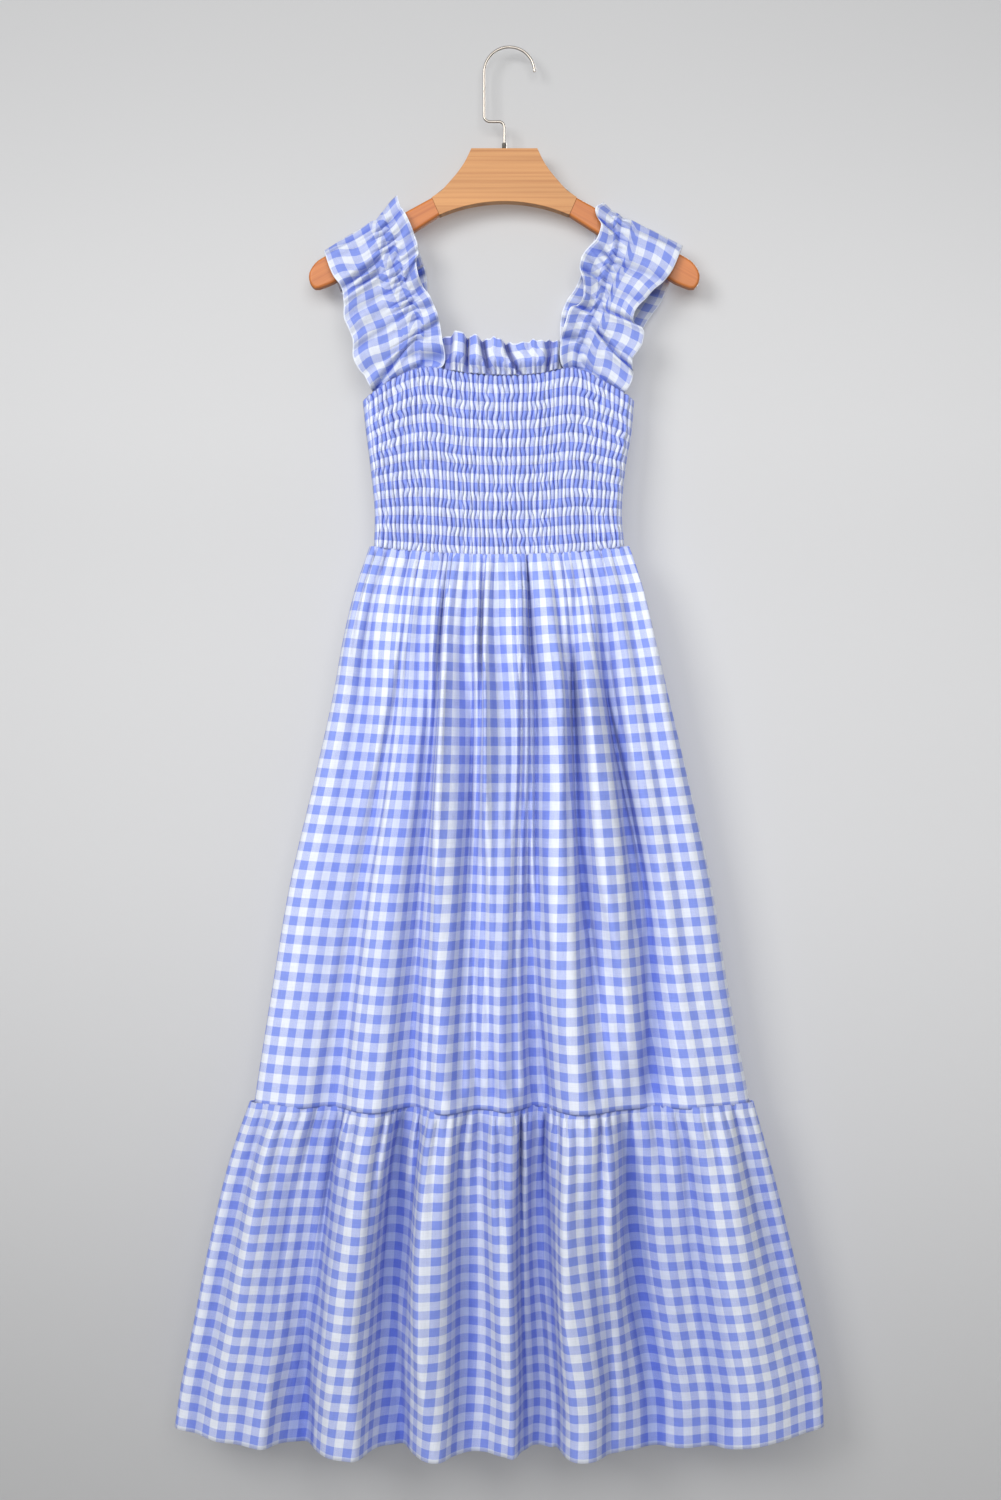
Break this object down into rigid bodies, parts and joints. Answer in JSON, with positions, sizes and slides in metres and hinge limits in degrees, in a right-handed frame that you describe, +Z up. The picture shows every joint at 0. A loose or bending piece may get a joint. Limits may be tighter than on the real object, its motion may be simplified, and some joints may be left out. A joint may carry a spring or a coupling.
{
  "type": "sundress on a wooden hanger",
  "caption": "Gingham sundress with a shirred bodice, ruffled straps and gathered tiered skirt, hung on a wooden hanger with a cranked wire hook.",
  "frame": {"origin": "the point under the crown of the hanger's hook where it bears on a rail or peg", "axes": "+Z up, -Y out of the dress's front, +X to the viewer's right when facing the front"},
  "size_m": [0.6752, 0.114, 1.4513],
  "materials": {
    "gingham": "matte yarn-dyed cotton, blue and white gingham, 9.5 mm checks",
    "block_wood": "clear satin lacquer over pale softwood",
    "arm_wood": "clear satin lacquer over pinkish wood",
    "wire": "satin nickel plate"
  },
  "bodies": {
    "root": {"bodice_front": "gingham", "bodice_back": "gingham", "skirt_front": "gingham", "skirt_back": "gingham", "tier_front": "gingham", "tier_back": "gingham", "strap_left": "gingham", "strap_right": "gingham", "neck_frill_front": "gingham", "neck_frill_back": "gingham", "hanger_block": "block_wood", "hanger_arm_left": "arm_wood", "hanger_arm_right": "arm_wood", "hanger_hook": "wire", "hook_collar": "wire"}
  },
  "joints": []
}
